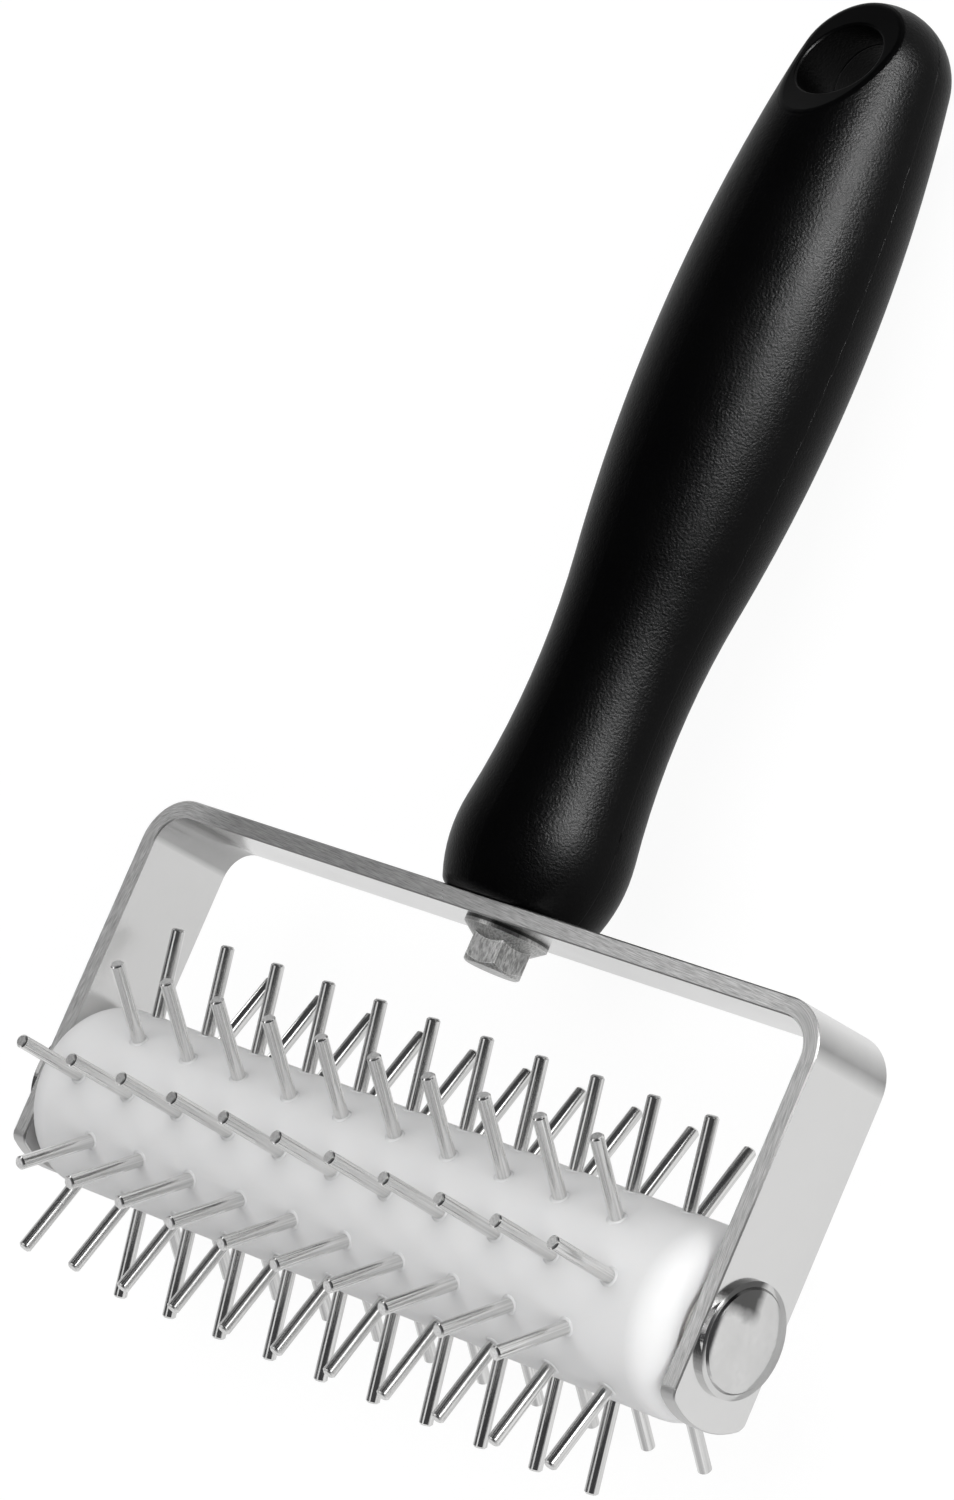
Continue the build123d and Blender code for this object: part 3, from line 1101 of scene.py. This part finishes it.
@dataclass(frozen=True)
class Softbox:
    """A rectangular area lamp that faces a target, for all pieces or only for named ones."""

    name: str
    place: Point
    target: Point
    size: Span
    radiance: float
    lights: Lights
    only_on: tuple[str, ...] = ()

    def hang(self) -> None:
        """Add the lamp to the scene."""
        width, height = self.size
        data = bpy.data.lights.new(self.name, "AREA")
        data.shape = "RECTANGLE"
        data.size = width
        data.size_y = height
        data.energy = self.radiance * math.pi * width * height
        lamp = bpy.data.objects.new(self.name, data)
        lamp.location = self.place
        aim = Vector(self.target) - Vector(self.place)
        lamp.rotation_euler = aim.to_track_quat("-Z", "Y").to_euler()
        lamp.visible_glossy, lamp.visible_diffuse = self.lights.value
        bpy.context.scene.collection.objects.link(lamp)
        if self.only_on:
            lit = bpy.data.collections.new(f"lit_by_{self.name}")
            for name in self.only_on:
                lit.objects.link(bpy.data.objects[name])
            lamp.light_linking.receiver_collection = lit


@dataclass
class Studio:
    """Camera, lamps, surroundings and floor."""

    station: Point = (0.519943, -0.061257, 0.595655)
    right: Point = (0.7003744, 0.3425279, -0.626219)
    up: Point = (-0.2118231, 0.9375515, 0.2759131)
    lens: float = 141.176
    sensor: float = 36.0
    clip: Span = (0.01, 50.0)
    floor_size: float = 12.0
    floor_colour: Colour = (0.8, 0.8, 0.8)
    floor_roughness: float = 0.9
    white_share: float = 0.86
    white_strength: float = 1.08
    mirrored_share: float = 0.68
    wall_colour: Colour = (0.60, 0.60, 0.605)
    ceiling_colour: Colour = (0.06, 0.06, 0.062)
    wall_top: Span = (0.30, 0.50)
    wall_end: Span = (-0.15, 0.25)
    low_top: Span = (0.04, 0.14)

    def build(self) -> None:
        """Make everything that isn't the object."""
        self.set_camera()
        self.hang_lamps()
        self.set_world()
        self.lay_floor()
        bpy.context.scene.view_settings.view_transform = "Standard"

    def set_camera(self) -> None:
        """Put the camera where the photograph was taken from."""
        data = bpy.data.cameras.new("photo_camera")
        data.lens = self.lens
        data.sensor_width = self.sensor
        data.clip_start, data.clip_end = self.clip
        camera = bpy.data.objects.new("photo_camera", data)
        right = Vector(self.right).normalized()
        back = right.cross(Vector(self.up)).normalized()
        up = back.cross(right)
        axes = Matrix((right, up, back)).transposed().to_4x4()
        camera.matrix_world = Matrix.Translation(self.station) @ axes
        bpy.context.scene.collection.objects.link(camera)
        bpy.context.scene.camera = camera

    def hang_lamps(self) -> None:
        """Hang a key lamp for each kind of surface, cards for it to mirror, and two fills.

        The keys stand at about the same place, at the right and beyond the handle's end.
        """
        middle = (0.0, 0.02, 0.02)
        below_side = (-0.56, 0.2, 0.0)
        below_arm = (-1.15, 0.25, 0.0)
        key = (0.79, 0.46, 0.35)
        key_size = (0.34, 0.46)
        black = ("handle", "handle_seam")
        white = ("roller", "pin_welts")
        pins = self.nodes_of(Slot.PIN)
        bars = self.nodes_of(Slot.FORK, Slot.RIVET)
        smooth = (*bars, *pins)
        metal = (*smooth, "handle_bolt")
        shine, matt, both = Lights.SHINE, Lights.MATT, Lights.BOTH
        lamps = (
            Softbox("side_key", key, middle, key_size, 8.0, shine, (*white, *bars)),
            Softbox("pin_key", key, middle, key_size, 3.2, shine, pins),
            Softbox("handle_key", (0.78, 0.48, 0.365), middle, (0.28, 0.36), 122.0, shine, black),
            Softbox("side_card", (-0.56, 0.2, 1.1), below_side, (0.40, 0.9), 1.9, both, metal),
            Softbox("arm_card", (-1.15, 0.25, 1.1), below_arm, (0.36, 0.9), 0.75, both, bars),
            Softbox("front_card", (-0.5, -0.75, 0.6), middle, (0.6, 0.5), 0.9, shine, smooth),
            Softbox("pin_card", (-0.15, -0.42, 1.11), middle, (0.45, 0.45), 0.85, shine, pins),
            Softbox("overhead_fill", (-0.05, 0.5, 1.2), middle, (1.4, 1.4), 1.85, matt),
            Softbox("side_fill", (0.85, -0.3, 0.6), middle, (0.8, 0.8), 2.85, matt),
            Softbox("roller_card", (1.1, 0.2, 0.3), middle, (0.6, 0.6), 2.3, both, white),
        )
        for lamp in lamps:
            lamp.hang()

    @staticmethod
    def nodes_of(*slots: Slot) -> tuple[str, ...]:
        """List the CAD nodes that the record gives any of the slots."""
        wanted = [slot.value for slot in slots]
        listed = frame["record"]["subparts"]
        return tuple(part["node"] for part in listed if part["material_slot"] in wanted)

    def set_world(self) -> None:
        """Surround the set with a pale wall at the left and front, low all round, dark above.

        Only reflections and matt surfaces see it. The camera sees plain white.
        """
        world = bpy.data.worlds.new("surroundings")
        bpy.context.scene.world = world
        world.use_nodes = True
        tree = world.node_tree
        direction = add_node(tree, "ShaderNodeTexCoord").outputs["Generated"]
        parts = add_node(tree, "ShaderNodeSeparateXYZ", {0: direction}).outputs
        above = remap(tree, parts[2], self.wall_top)
        beyond = remap(tree, calculate(tree, "ADD", parts[0], parts[1]), self.wall_end)
        share = calculate(tree, "MAXIMUM", above, beyond)
        share = calculate(tree, "MINIMUM", share, remap(tree, parts[2], self.low_top))
        colour = blend_colours(tree, share, self.wall_colour, self.ceiling_colour)
        rays = add_node(tree, "ShaderNodeLightPath").outputs
        seen = calculate(tree, "MAXIMUM", rays["Is Camera Ray"], rays["Is Transmission Ray"])
        colour = blend_colours(tree, seen, colour, WHITE)
        set_inputs(tree, tree.nodes["Background"], {"Color": colour, "Strength": 1.0})

    def lay_floor(self) -> None:
        """Lay a floor that is almost white to the camera and keeps the object's shadow."""
        mesh = bmesh.new()
        bmesh.ops.create_grid(mesh, x_segments=1, y_segments=1, size=self.floor_size / 2)
        data = bpy.data.meshes.new("floor")
        mesh.to_mesh(data)
        mesh.free()
        floor = bpy.data.objects.new("floor", data)
        bpy.context.scene.collection.objects.link(floor)
        draft = Draft("white_floor")
        tree = draft.tree
        draft.feed({"Base Color": (*self.floor_colour, 1), "Roughness": self.floor_roughness})
        draft.feed({"Specular IOR Level": 0.0})
        rays = add_node(tree, "ShaderNodeLightPath").outputs
        mirrored = multiply(tree, rays["Is Glossy Ray"], self.mirrored_share)
        seen = calculate(tree, "MAXIMUM", rays["Is Camera Ray"], mirrored)
        seen = calculate(tree, "MAXIMUM", seen, rays["Is Transmission Ray"])
        share = multiply(tree, seen, self.white_share)
        white = add_node(tree, "ShaderNodeEmission", {"Strength": self.white_strength})
        surfaces = {0: share, 1: draft.shader.outputs[0], 2: white.outputs[0]}
        mixed = add_node(tree, "ShaderNodeMixShader", surfaces)
        set_inputs(tree, tree.nodes["Material Output"], {"Surface": mixed.outputs[0]})
        data.materials.append(draft.material)


def main() -> None:
    """Build the set and dress the docker, one sub-assembly after another."""
    logging.basicConfig(level=logging.INFO, format="%(name)s %(message)s")
    layout = read_layout()
    effects = Effects(NoiseEffect(), EdgeEffect())
    HandleSet(layout, effects).build()
    ForkSet(layout, effects).build()
    RollerSet(layout, effects).build()
    Studio().build()


if __name__ == "__main__":
    main()
